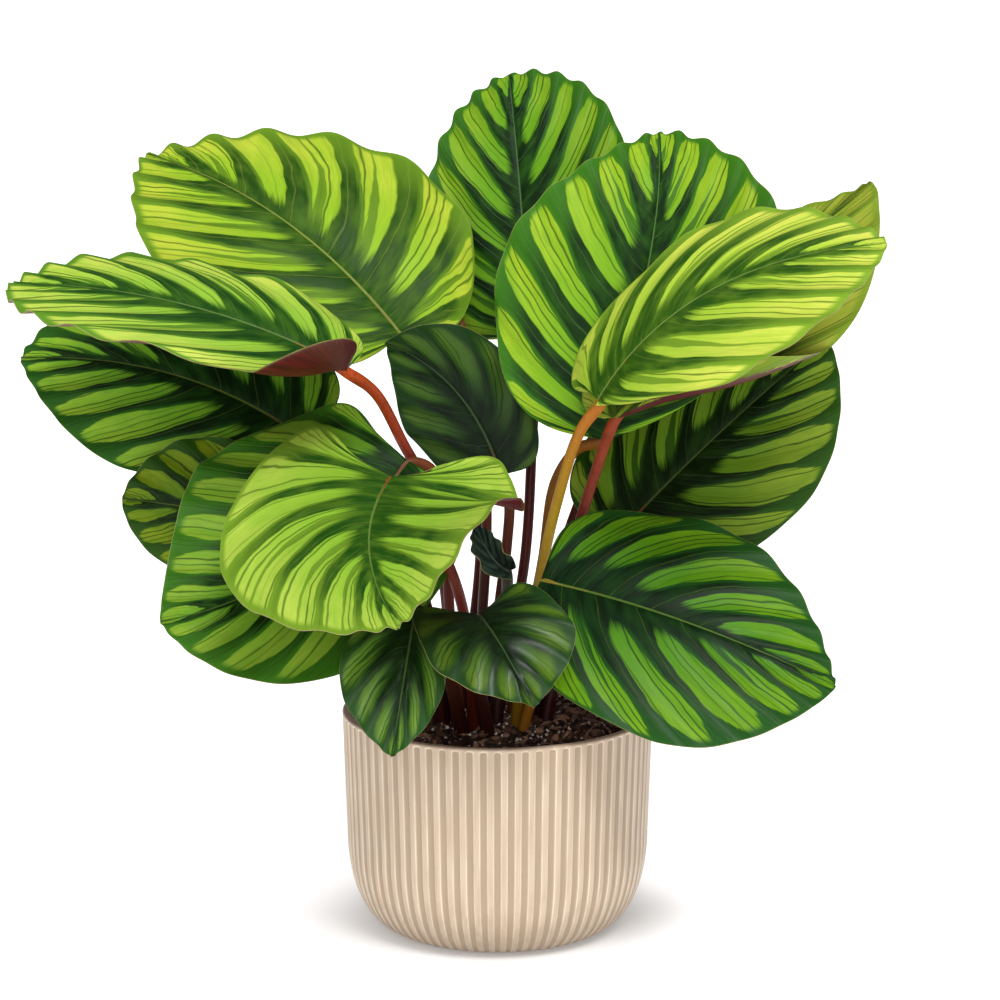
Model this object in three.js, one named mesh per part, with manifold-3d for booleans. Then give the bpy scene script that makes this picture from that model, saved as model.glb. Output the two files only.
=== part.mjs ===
// A potted calathea: broad striped leaves on slender stalks that rise in one clump from
// potting soil, in a ribbed stoneware pot.
//
// Millimetres, +Z up. The origin is the middle of the pot's underside, +X is the plant's
// right and -Y is the side that it shows to the room.

import * as THREE from 'three';
import { mergeVertices } from 'three/addons/utils/BufferGeometryUtils.js';
import Module from 'manifold-3d';

const wasm = await Module();
wasm.setup();

// ---------------------------------------------------------------- driving dimensions

const GAP = 0.3; // clearance between pieces that lie against each other

const POT = {
  height: 136,
  rimRadius: 95.5,
  bendHeight: 60, // the wall runs straight above this height and curves in below it
  bendRadius: 93,
  bendPower: 2.2, // squareness of the curve: 2 would be an ellipse
  footRadius: 60,
  wall: 5,
  floor: 8,
  lipRound: 1.5,
  ribs: 72,
  fluteDepth: 1.1,
  fluteTop: 132, // a plain band is left between the flutes and the lip
  fluteFade: 3,
};

const SOIL = {
  level: 124,
  mound: 2, // the middle stands this much higher than the edge
  lump: 0.9, // height of the chips that roughen the surface
};

const STALK = {
  rootDepth: 12,
  sheathRadius: 5, // at the soil, where the old leaf sheaths wrap it
  radius: 3.3,
  tipRadius: 1.2, // where it runs out under the blade as the midrib
  sheathLength: 55,
  ribShare: 0.16, // part of the blade's length that the stalk runs under
  sides: 6,
  steps: 10,
  ribSteps: 3,
};

const BLADE = {
  thickness: 0.8,
  // A vein leaves the midrib at footAt(q) and meets the margin at the place q, which runs
  // from 0 at the base to 1 at the tip.
  firstVein: 0.12,
  veinSweep: 2.5,
  bandSweep: 2.25, // spaces the light bands, and the waves of the margin with them
  // A vein curves towards the tip: its bend lies this share of the way along and across.
  bendAlong: 0.35,
  bendAcross: 0.55,
  lobeEnd: 0.36, // the base lobe is the margin from the base to this place
  waveRise: 2.2, // the waves grow towards the margin: higher keeps the middle flatter
  rightLag: 0.35, // of a wave, so that the halves' waves don't face each other
  rows: [0, 0.35, 0.7, 1], // from the midrib to the margin
  baseColumns: [0.03, 0.08, 0.15, 0.23],
};

// Values that a leaf has unless its own line below says otherwise.
const PLAIN_LEAF = {
  bands: 7,
  lobe: [0.03, 0.03], // how far the left and right base lobes reach back, in blade lengths
  blunt: [0.6, 0.6], // roundness of the left and right halves' base: lower is squarer
  point: 1.85, // sharpness of the tip: higher is sharper
  lean: [0, 0], // how far the halves' widest places move to the tip, in blade lengths
  vee: 10, // degrees that the halves rise beside the midrib
  droop: [-15, -15], // degrees that the left and right halves turn by the margin
  wave: 1.5, // height of the margin's waves
  folds: [], // [side, from, to, degrees, ramp]: a stretch of the margin that turns up
  tone: 'mid',
};

// Each leaf: base, middle and tip of its midrib, its half widths left and right of it, and
// where its upper face looks: degrees round from -Y towards +X, then degrees above level.
// The stalk rises through its points from the soil to the base.
const LEAVES = [
  {
    name: 'upper_left', tone: 'light',
    base: [-58, 30, 362], middle: [-134, 70, 430], tip: [-223, 118, 466],
    half: [78, 92], face: [0, 45], point: 1.4, lean: [0.05, -0.2], wave: 3,
    blunt: [0.6, 1.7],
    stalk: [[-14, 34], [-7, 44, 257], [-19, 48, 354], [-33, 56, 380]],
  },
  {
    name: 'left', tone: 'light',
    base: [-88, -40, 353], middle: [-185, -26, 389], tip: [-291, 3, 398],
    half: [57, 56], face: [0, 62], point: 1.3, lean: [0.06, -0.04], wave: 2.5, droop: [14, -12],
    blunt: [0.5, 0.9],
    folds: [[-1, -0.3, 0.28, 95, 0.3], [1, 0.3, 0.8, -18, 1]],
    stalk: [[-26, 14], [-41, 9, 264], [-58, 2, 302], [-73, -20, 335]],
  },
  {
    name: 'left_under', tone: 'dark',
    base: [-117, 22, 299], middle: [-200, 40, 337], tip: [-297, 61, 344],
    half: [68, 68], face: [0, 35], point: 1.6,
    stalk: [[-38, 20], [-45, 28, 197], [-73, 31, 247], [-100, 28, 285]],
  },
  {
    name: 'left_small', tone: 'dark', bands: 5,
    base: [-129, -22, 256], middle: [-178, -18, 264], tip: [-226, -17, 270],
    half: [40, 46], face: [-10, 25], point: 1.3,
    stalk: [[-34, 6], [-47, -4, 192], [-84, -11, 228], [-110, -15, 247]],
  },
  {
    name: 'lower_left', tone: 'mid',
    base: [-54, -10, 292], middle: [-119, -55, 236], tip: [-196, -92, 212],
    half: [72, 90], face: [-5, 30], droop: [-15, -8], point: 1.6,
    lobe: [0.03, 0.14], blunt: [0.6, 0.5], folds: [[1, -0.3, 0.35, -35, 1]],
    stalk: [[-24, -2], [-29, -4, 192], [-33, -2, 254], [-40, -3, 285]],
  },
  {
    name: 'front_left', tone: 'light',
    base: [-63, -51, 290], middle: [-73, -121, 263], tip: [-54, -196, 234],
    half: [92, 85], blunt: [0.5, 0.5], face: [0, 72], tipFace: [-18, 60], lobe: [0.14, 0.26],
    folds: [[-1, -0.5, 0.45, 48, 1], [-1, 0.35, 1, 60, 1], [1, -0.5, 0.8, 20, 1]],
    stalk: [[-14, -8], [-18, -34, 190], [-28, -58, 236], [-48, -60, 274]],
  },
  {
    name: 'centre_small', tone: 'dark', bands: 5,
    base: [2, 38, 274], middle: [-25, 32, 327], tip: [-68, 17, 360],
    half: [40, 38], face: [0, 15],
    stalk: [[-4, 18], [0, 32, 183], [6, 44, 231], [7, 44, 257]],
  },
  {
    name: 'centre_right', tone: 'mid',
    base: [65, 22, 299], middle: [93, 35, 411], tip: [99, 73, 483],
    half: [90, 86], face: [0, 20], tipFace: [0, 55], point: 1.3, wave: 2.5,
    droop: [-8, -15], lean: [-0.04, 0.04], blunt: [0.8, 3],
    stalk: [[10, 26], [28, 36, 220], [36, 40, 270], [50, 32, 292]],
  },
  {
    name: 'right', tone: 'light',
    base: [59, -45, 335], middle: [123, -75, 404], tip: [222, -85, 432],
    half: [64, 78], face: [0, 60], lobe: [0.14, 0.05], point: 1.5, blunt: [0.6, 3],
    stalk: [[12, 4], [26, -5, 219], [36, -18, 269], [49, -34, 314]],
  },
  {
    name: 'right_upper', tone: 'light',
    base: [70, -12, 318], middle: [146, -2, 391], tip: [223, 10, 459],
    half: [44, 61], face: [20, 45], lean: [-0.13, 0.09], blunt: [1, 3], point: 2.2,
    folds: [[1, -0.3, 0.5, 95, 0.3]],
    stalk: [[20, 18], [39, 3, 214], [53, 1, 262], [66, -7, 305]],
  },
  {
    name: 'top', tone: 'mid',
    base: [20, 73, 357], middle: [14, 93, 445], tip: [7, 136, 515],
    half: [62, 70], face: [-20, 20], tipFace: [-20, 52], point: 1, lean: [-0.04, 0.04], wave: 2.5,
    stalk: [[0, 36], [17, 52, 217], [22, 68, 297], [25, 78, 347]],
  },
  {
    name: 'right_under', tone: 'dark',
    base: [72, 19, 238], middle: [135, 53, 295], tip: [206, 70, 355],
    half: [64, 70], face: [5, 32], point: 1.35,
    stalk: [[30, 12], [43, 18, 181], [57, 16, 212], [66, 18, 227]],
  },
  {
    name: 'lower_right', tone: 'dark',
    base: [26, -40, 225], middle: [110, -70, 207], tip: [198, -90, 173],
    half: [71, 79], face: [0, 42], point: 1.75, lean: [-0.03, 0.03],
    stalk: [[16, -12], [22, -16, 151], [24, -30, 195], [25, -38, 215]],
  },
  {
    name: 'front_small', tone: 'dark', bands: 5,
    base: [-11, -82, 214], middle: [3, -111, 201], tip: [21, -131, 171],
    half: [44, 46], face: [0, 62], lobe: [0.26, 0.2], vee: 20, lean: [0, -0.12],
    folds: [[-1, -0.5, 0.8, 28, 1], [1, -0.5, 0.8, 26, 1]],
    stalk: [[-6, -20], [-12, -33, 162], [-14, -60, 190], [-13, -75, 204]],
  },
  {
    name: 'rim_small', tone: 'dark', bands: 5,
    base: [-48, -74, 217], middle: [-54, -106, 182], tip: [-61, -122, 139],
    half: [24, 38], face: [0, 20],
    stalk: [[-22, -16], [-28, -34, 160], [-35, -54, 191], [-43, -70, 211]],
  },
  {
    name: 'withered', tone: 'dark', bands: 5,
    base: [8, -2, 222], middle: [-3, -9, 232], tip: [-13, -6, 251],
    half: [10, 10], face: [15, 20], wave: 2, point: 1.3,
    folds: [[-1, -0.5, 0.9, 55, 1], [1, -0.5, 1, 80, 0.6]],
    stalk: [[-1, 4], [2, 6, 160], [5, 5, 195], [6, 4, 210]],
  },
  {
    name: 'back_left', tone: 'mid',
    base: [-45, 80, 354], middle: [-103, 134, 396], tip: [-162, 168, 424],
    half: [62, 62], face: [180, 45],
    stalk: [[-22, 46], [-11, 68, 239], [-30, 76, 315], [-41, 76, 347]],
  },
  {
    name: 'back_right', tone: 'mid',
    base: [81, 92, 324], middle: [124, 135, 371], tip: [171, 165, 392],
    half: [62, 62], face: [180, 45],
    stalk: [[16, 40], [39, 64, 215], [65, 84, 283], [77, 91, 313]],
  },
  {
    name: 'back_low_right', tone: 'dark', bands: 6,
    base: [81, 65, 214], middle: [121, 115, 230], tip: [165, 155, 230],
    half: [52, 52], face: [180, 60],
    stalk: [[30, 30], [41, 52, 166], [63, 60, 196], [74, 64, 207]],
  },
  {
    name: 'back_low_left', tone: 'dark', bands: 6,
    base: [-71, 70, 223], middle: [-121, 110, 230], tip: [-170, 150, 223],
    half: [52, 52], face: [180, 60],
    stalk: [[-34, 34], [-43, 52, 179], [-60, 62, 207], [-67, 68, 216]],
  },
];

const FINISH = {
  stoneware: { color: 0xd3bfa4, roughness: 0.45, metalness: 0 },
  soil: { color: 0x35231a, roughness: 0.95, metalness: 0 },
  stalk: { color: 0x9a4a26, roughness: 0.45, metalness: 0 },
  light: { color: 0x8fc43c, roughness: 0.4, metalness: 0 },
  mid: { color: 0x4f9636, roughness: 0.4, metalness: 0 },
  dark: { color: 0x2c5c30, roughness: 0.35, metalness: 0 },
};

// ---------------------------------------------------------------- solids and cuts

// Joins the vertices that share a place and drops the triangles that this collapses, such
// as those at the pole of a lathe or at the tip of a leaf.
function welded(geometry) {
  const bare = geometry.clone();
  bare.deleteAttribute('normal');
  bare.deleteAttribute('uv');
  const merged = mergeVertices(bare, 1e-3);
  const kept = [];
  const corner = merged.index.array;
  for (let i = 0; i < corner.length; i += 3) {
    const [a, b, c] = [corner[i], corner[i + 1], corner[i + 2]];
    if (a !== b && b !== c && c !== a) kept.push(a, b, c);
  }
  merged.setIndex(kept);
  return merged;
}

function toSolid(geometry) {
  const closed = welded(geometry);
  return new wasm.Manifold(new wasm.Mesh({
    numProp: 3,
    vertProperties: new Float32Array(closed.attributes.position.array),
    triVerts: new Uint32Array(closed.index.array),
  }));
}

function toGeometry(solid) {
  const mesh = solid.getMesh();
  const geometry = new THREE.BufferGeometry();
  geometry.setAttribute('position', new THREE.BufferAttribute(mesh.vertProperties, 3));
  geometry.setIndex(new THREE.BufferAttribute(mesh.triVerts, 1));
  return geometry;
}

function piece(name, geometry, finish) {
  const mesh = new THREE.Mesh(geometry, new THREE.MeshStandardMaterial(FINISH[finish]));
  mesh.name = name;
  return mesh;
}

// Turns a profile of [radius, height] pairs, from the axis at the bottom to the axis at the
// top, round the Z axis.
function turned(profile, segments) {
  const points = profile.map(([radius, height]) => new THREE.Vector2(radius, height));
  return new THREE.LatheGeometry(points, segments).rotateX(Math.PI / 2);
}

// ---------------------------------------------------------------- pot

const POT_SEGMENTS = 2 * POT.ribs; // one line on the crest of each rib, one in each flute
const INSIDE_SEGMENTS = 48;
const WALL_HEIGHTS = [0, 2, 8, 18, 34, POT.bendHeight];

function wallRadius(height) {
  if (height >= POT.bendHeight) {
    const rise = (height - POT.bendHeight) / (POT.height - POT.bendHeight);
    return THREE.MathUtils.lerp(POT.bendRadius, POT.rimRadius, rise);
  }
  const drop = 1 - height / POT.bendHeight;
  const bulge = Math.pow(1 - Math.pow(drop, POT.bendPower), 1 / POT.bendPower);
  return THREE.MathUtils.lerp(POT.footRadius, POT.bendRadius, bulge);
}

// The inner wall, drawn in by the given amount, from the floor of the pot to a height.
function insideProfile(inset, top) {
  const bottom = POT.floor + inset;
  const heights = [bottom, 14, 24, 40, POT.bendHeight, top];
  return heights.map((height) => [wallRadius(height) - POT.wall - inset, height]);
}

function potGeometry() {
  const fadeStart = POT.fluteTop - POT.fluteFade;
  const lipStart = POT.height - POT.lipRound;
  const heights = [...WALL_HEIGHTS, fadeStart, POT.fluteTop, lipStart];
  const outline = heights.map((height) => [wallRadius(height), height]);
  const lipEdge = [wallRadius(POT.height) - POT.lipRound, POT.height];
  const outside = turned([[0, 0], ...outline, lipEdge, [0, POT.height]], POT_SEGMENTS);

  // Every second segment line is drawn in to make the bottom of a flute.
  const place = outside.attributes.position;
  for (let i = 0; i < place.count; i++) {
    const [x, y, z] = [place.getX(i), place.getY(i), place.getZ(i)];
    const radius = Math.hypot(x, y);
    const line = Math.round((Math.atan2(y, x) / (2 * Math.PI)) * POT_SEGMENTS);
    const inFlute = line % 2 === 0;
    if (inFlute && z <= fadeStart && radius > 1) {
      const scale = 1 - POT.fluteDepth / radius;
      place.setXY(i, x * scale, y * scale);
    }
  }

  const above = POT.height + 10;
  const cavity = insideProfile(0, above);
  const inside = turned([[0, POT.floor], ...cavity, [0, above]], INSIDE_SEGMENTS);
  return toGeometry(toSolid(outside).subtract(toSolid(inside)));
}

// ---------------------------------------------------------------- leaf blades

function facing([around, above]) {
  const turn = THREE.MathUtils.degToRad(around);
  const lift = THREE.MathUtils.degToRad(above);
  return new THREE.Vector3(
    Math.sin(turn) * Math.cos(lift),
    -Math.cos(turn) * Math.cos(lift),
    Math.sin(lift),
  );
}

// The midrib: one arc through base, middle and tip, with its direction, the upper face's
// normal and the way to the leaf's right at each share of its length.
function midribOf(leaf) {
  const [base, middle, tip] = [leaf.base, leaf.middle, leaf.tip].map((p) => new THREE.Vector3(...p));
  const ends = base.clone().add(tip).multiplyScalar(0.5);
  const control = middle.clone().multiplyScalar(2).sub(ends);
  const curve = new THREE.QuadraticBezierCurve3(base, control, tip);
  const faceAtBase = facing(leaf.face);
  const faceAtTip = facing(leaf.tipFace ?? leaf.face);
  return {
    length: curve.getLength(),
    at(share) {
      const along = curve.getTangentAt(share);
      const up = faceAtBase.clone().lerp(faceAtTip, share).normalize();
      up.addScaledVector(along, -up.dot(along)).normalize();
      const right = along.clone().cross(up);
      return { point: curve.getPointAt(share), along, up, right };
    },
  };
}

const footAt = (q) => Math.pow(Math.max(q - BLADE.firstVein, 0) / (1 - BLADE.firstVein), BLADE.veinSweep);

// Angle of the blade's cross-section at the share t of the way to the margin, in radians.
function riseAt(leaf, side, q, t) {
  let degrees = leaf.vee * Math.exp(-4 * t) + leaf.droop[side < 0 ? 0 : 1] * Math.pow(t, 1.2);
  for (const [foldSide, from, to, turn, ramp] of leaf.folds) {
    const share = THREE.MathUtils.clamp((q - from) / (to - from), 0, 1);
    if (foldSide === side) degrees += turn * Math.sin(Math.PI * share) * Math.min(t / ramp, 1);
  }
  return THREE.MathUtils.degToRad(degrees);
}

// Points down one vein, from the midrib to the margin, with the upper face's normals.
function veinRow(leaf, midrib, side, q) {
  const STEPS = 20;
  const { length } = midrib;
  const foot = length * footAt(q);
  const arc = Math.PI * q;
  const half = side < 0 ? 0 : 1;
  const swell = Math.pow(Math.max(Math.sin(arc), 0), arc < Math.PI / 2 ? leaf.blunt[half] : leaf.point);
  const endAcross = leaf.half[half] * swell;
  const endAlong = length * (0.5 - 0.5 * Math.cos(arc))
    - leaf.lobe[half] * length * Math.sin(Math.PI * Math.min(q / BLADE.lobeEnd, 1))
    + leaf.lean[half] * length * Math.sin(arc);
  const bendAlong = foot + BLADE.bendAlong * (endAlong - foot);
  const bendAcross = BLADE.bendAcross * endAcross;

  const row = [];
  let [out, height, lastAcross, lastRise] = [0, 0, 0, riseAt(leaf, side, q, 0)];
  for (let step = 0; step <= STEPS; step++) {
    const t = step / STEPS;
    const along = (1 - t) ** 2 * foot + 2 * t * (1 - t) * bendAlong + t ** 2 * endAlong;
    const across = 2 * t * (1 - t) * bendAcross + t ** 2 * endAcross;
    const rise = riseAt(leaf, side, q, t);
    out += (across - lastAcross) * Math.cos((rise + lastRise) / 2);
    height += (across - lastAcross) * Math.sin((rise + lastRise) / 2);
    [lastAcross, lastRise] = [across, rise];

    const rib = midrib.at(THREE.MathUtils.clamp(along / length, 0, 1));
    const normal = rib.up.clone();
    const offRib = step > 0 && q < 1;
    if (offRib) normal.multiplyScalar(Math.cos(rise)).addScaledVector(rib.right, -side * Math.sin(rise));
    const phase = leaf.bands * Math.pow(q, BLADE.bandSweep) + half * BLADE.rightLag;
    const calm = Math.min(q / 0.1, (1 - q) / 0.03, 1);
    const ripple = leaf.wave * calm * t ** BLADE.waveRise * Math.sin(2 * Math.PI * phase);
    const point = rib.point.clone().addScaledVector(rib.along, Math.min(along, 0))
      .addScaledVector(rib.right, side * out)
      .addScaledVector(rib.up, height)
      .addScaledVector(normal, ripple);
    if (BLADE.rows.some((share) => Math.abs(share - t) < 1e-6)) row.push({ point, normal });
  }
  return row;
}

// A closed thin sheet: the same triangles on the upper and the under face, joined round
// the margin. The columns past the base follow the crests and troughs of the margin.
function bladeGeometry(leaf) {
  const midrib = midribOf(leaf);
  const crests = [];
  for (let k = 1; k <= 2 * leaf.bands; k++) {
    crests.push(Math.pow(k / (2 * leaf.bands), 1 / BLADE.bandSweep));
  }
  const columns = [...BLADE.baseColumns, ...crests.filter((q) => q > 0.29)];
  const lastRow = BLADE.rows.length - 1;
  const places = [];
  const triangles = [];

  const quad = (a, b, c, d, flipped) => {
    if (flipped) triangles.push(a, c, b, a, d, c);
    else triangles.push(a, b, c, a, c, d);
  };

  for (const side of [-1, 1]) {
    const first = places.length / 3;
    for (const q of columns) {
      for (const { point, normal } of veinRow(leaf, midrib, side, q)) {
        for (const face of [1, -1]) {
          places.push(...point.clone().addScaledVector(normal, face * BLADE.thickness / 2));
        }
      }
    }
    const vertex = (column, row, face) => first + 2 * (column * (lastRow + 1) + row) + (face > 0 ? 0 : 1);
    const flipped = side < 0;
    for (let i = 0; i < columns.length - 1; i++) {
      for (let j = 0; j < lastRow; j++) {
        for (const face of [1, -1]) {
          const corners = [[i, j], [i, j + 1], [i + 1, j + 1], [i + 1, j]];
          quad(...corners.map(([c, r]) => vertex(c, r, face)), flipped !== face < 0);
        }
      }
      quad(vertex(i, lastRow, 1), vertex(i, lastRow, -1), vertex(i + 1, lastRow, -1),
        vertex(i + 1, lastRow, 1), flipped);
    }
    for (let j = 0; j < lastRow; j++) {
      quad(vertex(0, j, 1), vertex(0, j, -1), vertex(0, j + 1, -1), vertex(0, j + 1, 1), flipped);
    }
  }

  const geometry = new THREE.BufferGeometry();
  geometry.setAttribute('position', new THREE.Float32BufferAttribute(places, 3));
  geometry.setIndex(triangles);
  return welded(geometry);
}

// ---------------------------------------------------------------- leaf stalks

// The stalk's line: up through its points, then close under the blade as its midrib.
function stalkCurve(leaf) {
  const midrib = midribOf(leaf);
  const points = leaf.stalk.map(([x, y, z]) => new THREE.Vector3(x, y, z ?? SOIL.level));
  points.unshift(points[0].clone().setZ(SOIL.level - STALK.rootDepth));
  const clear = BLADE.thickness / 2 + GAP;
  for (const part of [0, 0.5, 1]) {
    const rib = midrib.at(part * STALK.ribShare);
    const radius = THREE.MathUtils.lerp(STALK.radius, STALK.tipRadius, part);
    points.push(rib.point.clone().addScaledVector(rib.up, -(radius + clear)));
  }
  return new THREE.CatmullRomCurve3(points, false, 'centripetal');
}

// A tapered cylinder bent along the curve. The margin thickens it, for cutting its hole.
function stalkGeometry(leaf, margin = 0) {
  const curve = stalkCurve(leaf);
  const length = curve.getLength();
  const ribLength = STALK.ribShare * midribOf(leaf).length;
  const steps = STALK.steps + STALK.ribSteps;
  const straight = new THREE.CylinderGeometry(1, 1, 1, STALK.sides, steps).toNonIndexed();
  const [baseX, baseY] = leaf.base;
  const sideways = new THREE.Vector3(leaf.tip[1] - baseY, baseX - leaf.tip[0], 0).normalize();
  const place = straight.attributes.position;
  for (let i = 0; i < place.count; i++) {
    const step = Math.round((place.getY(i) + 0.5) * steps);
    const done = step <= STALK.steps
      ? (length - ribLength) * (step / STALK.steps)
      : length - ribLength * ((steps - step) / STALK.ribSteps);
    const sheath = Math.max(1 - done / (STALK.sheathLength + STALK.rootDepth), 0);
    const fade = THREE.MathUtils.clamp((length - done) / ribLength, 0, 1);
    const radius = margin + (STALK.sheathRadius - STALK.radius) * sheath
      + THREE.MathUtils.lerp(STALK.tipRadius, STALK.radius, fade);
    const along = curve.getTangentAt(done / length);
    const across = sideways.clone().addScaledVector(along, -sideways.dot(along)).normalize();
    const upward = along.clone().cross(across);
    const point = curve.getPointAt(done / length)
      .addScaledVector(across, radius * place.getX(i))
      .addScaledVector(upward, -radius * place.getZ(i));
    if (step === 0) point.z -= margin;
    place.setXYZ(i, point.x, point.y, point.z);
  }
  return welded(straight);
}

// ---------------------------------------------------------------- soil

function soilGeometry() {
  const edge = SOIL.level - SOIL.mound;
  const side = insideProfile(GAP, edge);
  const edgeRadius = side[side.length - 1][0];
  const rings = [0.86, 0.66, 0.46, 0.26].map((share) => [edgeRadius * share, edge]);
  const body = turned([[0, POT.floor + GAP], ...side, ...rings, [0, edge]], INSIDE_SEGMENTS);
  const place = body.attributes.position;
  for (let i = 0; i < place.count; i++) {
    const [x, y, z] = [place.getX(i), place.getY(i), place.getZ(i)];
    const radius = Math.hypot(x, y);
    if (z < edge - 0.01 || radius > edgeRadius * 0.97) continue;
    const dome = SOIL.mound * (1 - (radius / edgeRadius) ** 2);
    const chips = SOIL.lump * Math.sin(0.31 * x + 1.3) * Math.cos(0.27 * y - 0.4 * x);
    place.setZ(i, z + dome + chips);
  }
  let soil = toSolid(body);
  for (const leaf of LEAVES) soil = soil.subtract(toSolid(stalkGeometry({ ...PLAIN_LEAF, ...leaf }, GAP)));
  return toGeometry(soil);
}

// ---------------------------------------------------------------- the plant

const plant = new THREE.Group();
plant.add(piece('pot', potGeometry(), 'stoneware'));
plant.add(piece('soil', soilGeometry(), 'soil'));
for (const own of LEAVES) {
  const leaf = { ...PLAIN_LEAF, ...own };
  plant.add(piece(`leaf_${leaf.name}_blade`, bladeGeometry(leaf), leaf.tone));
  plant.add(piece(`leaf_${leaf.name}_stalk`, stalkGeometry(leaf), 'stalk'));
}

export default plant;
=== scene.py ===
# A potted calathea: broad striped leaves on slender stalks that rise in one clump from
# potting soil, in a ribbed stoneware pot.
import math

import bpy
import numpy as np
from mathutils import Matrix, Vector, noise


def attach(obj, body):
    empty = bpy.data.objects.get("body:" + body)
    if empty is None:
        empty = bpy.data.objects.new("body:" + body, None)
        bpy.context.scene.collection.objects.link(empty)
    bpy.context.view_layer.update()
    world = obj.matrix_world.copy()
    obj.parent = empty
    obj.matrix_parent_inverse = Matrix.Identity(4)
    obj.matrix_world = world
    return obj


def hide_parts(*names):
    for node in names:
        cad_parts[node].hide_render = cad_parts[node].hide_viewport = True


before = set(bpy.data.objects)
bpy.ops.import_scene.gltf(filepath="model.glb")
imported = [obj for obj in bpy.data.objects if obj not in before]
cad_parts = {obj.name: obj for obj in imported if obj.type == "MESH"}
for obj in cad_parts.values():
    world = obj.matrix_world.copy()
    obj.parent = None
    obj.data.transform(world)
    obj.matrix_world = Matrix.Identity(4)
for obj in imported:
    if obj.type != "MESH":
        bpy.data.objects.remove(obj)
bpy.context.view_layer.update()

# ---------------------------------------------------------------- pot
# A stoneware pot in one piece. Shallow flutes run down its whole outer wall under a plain
# rounded lip. A satin beige glaze covers it, with painted shade in the flutes and a painted
# highlight on the edges of the ribs between them.

MM = 0.001
POT_HEIGHT = 136
POT_RIM_RADIUS = 95.5
POT_BEND_HEIGHT = 60
POT_BEND_RADIUS = 93
POT_BEND_POWER = 2.2
POT_FOOT_RADIUS = 60
POT_WALL = 5
POT_FLOOR = 8
POT_LIP_ROUND = 1.5
POT_SEGMENTS = 864
RIBS = 72
FLUTE_DEPTH = 1.1
FLUTE_TOP = 134.4
FLUTE_SHARE = 0.6  # of the way from rib to rib
FLUTE_ARCH = 0.6  # how far its round upper end falls at the sides
FLUTE_FADE = 1.3
OUTER_SKIN = 1.2  # a point deeper in the wall than this isn't on its outside
GLAZE_ON_RIBS = "#cbb69e"
GLAZE_AND_SHADE_IN_FLUTES = "#a9937a"
PAINTED_RIB_EDGE_HIGHLIGHT = "#e6d8c4"
GLAZE_RUNS = "#a38c72"
GLAZE_CLOUDS = "#b79b7c"
GLAZE_SPECKS = "#9c8062"
# painted shade round the foot, which fades out between the two heights below
PAINTED_FOOT_SHADE = "#7d6a56"
FOOT_SHADE_FROM = 3
FOOT_SHADE_TO = 36


def paint(tone, share=1.0):
    """A linear colour from a tone as it looks on a screen."""
    parts = [int(tone[i:i + 2], 16) / 255 for i in (1, 3, 5)]
    straight = [p / 12.92 if p <= 0.04045 else ((p + 0.055) / 1.055) ** 2.4 for p in parts]
    return (*[p * share for p in straight], 1.0)


def add(tree, kind, feeds=(), **settings):
    """Adds a node, sets it up, and feeds its inputs with values or other nodes' outputs."""
    node = tree.nodes.new(kind)
    for key, value in settings.items():
        setattr(node, key, value)
    pairs = feeds.items() if isinstance(feeds, dict) else enumerate(feeds)
    for place, value in pairs:
        if isinstance(value, bpy.types.NodeSocket):
            tree.links.new(value, node.inputs[place])
        elif value is not None:
            node.inputs[place].default_value = value
    return node


def calc(tree, operation, *values, clamp=False):
    return add(tree, "ShaderNodeMath", values, operation=operation, use_clamp=clamp).outputs[0]


def plus(tree, first, second):
    return calc(tree, "ADD", first, second)


def minus(tree, first, second):
    return calc(tree, "SUBTRACT", first, second)


def times(tree, first, second):
    return calc(tree, "MULTIPLY", first, second)


def ease(tree, value, low, high, start=0.0, end=1.0):
    """Runs smoothly from start to end while the value goes from low to high."""
    feeds = (value, low, high, start, end)
    return add(tree, "ShaderNodeMapRange", feeds, interpolation_type="SMOOTHSTEP").outputs[0]


def blend(tree, share, first, second):
    feeds = {0: share, 6: first, 7: second}
    return add(tree, "ShaderNodeMix", feeds, data_type="RGBA").outputs[2]


def grain(tree, vector, scale, detail=2.0, roughness=0.5):
    feeds = {"Vector": vector, "Scale": scale, "Detail": detail, "Roughness": roughness}
    return add(tree, "ShaderNodeTexNoise", feeds).outputs[0]


def vector_of(tree, x, y, z):
    return add(tree, "ShaderNodeCombineXYZ", (x, y, z)).outputs[0]


def read(tree, name):
    """The value that the mesh carries under this name."""
    return add(tree, "ShaderNodeAttribute", attribute_name=name)


def new_finish(name, roughness, **fixed):
    """A material with one Principled shader, and its fixed values on the shader itself."""
    finish = bpy.data.materials.new(name)
    finish.use_nodes = True
    tree = finish.node_tree
    shader = tree.nodes["Principled BSDF"]
    shader.inputs["Roughness"].default_value = roughness
    for key, value in fixed.items():
        shader.inputs[key.replace("_", " ")].default_value = value
    return finish, tree, shader


def relief(tree, shader, height, depth, strength=1.0):
    """Raises and lowers the surface's shading by the height, up to a depth in metres."""
    feeds = {"Strength": strength, "Distance": depth, "Height": height}
    tree.links.new(add(tree, "ShaderNodeBump", feeds).outputs[0], shader.inputs["Normal"])


def new_piece(name, points, faces, finishes):
    """A mesh object from points in millimetres."""
    mesh = bpy.data.meshes.new(name)
    mesh.from_pydata((np.asarray(points) * MM).tolist(), [], faces)
    for finish in finishes:
        mesh.materials.append(finish)
    piece = bpy.data.objects.new(name, mesh)
    bpy.context.scene.collection.objects.link(piece)
    return piece


def settle(piece, modifier):
    """Makes the modifier's result the piece's own plain mesh and takes the modifier off."""
    ready = piece.evaluated_get(bpy.context.evaluated_depsgraph_get())
    mesh = bpy.data.meshes.new_from_object(ready)
    piece.modifiers.remove(modifier)
    piece.data = mesh


def run_tree(piece, tree, values):
    """Puts a Geometry Nodes tree on the piece with its named inputs, then settles it."""
    modifier = piece.modifiers.new(tree.name, "NODES")
    modifier.node_group = tree
    for item in tree.interface.items_tree:
        if item.in_out == "INPUT" and item.name in values:
            modifier[item.identifier] = values[item.name]
    settle(piece, modifier)


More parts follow.
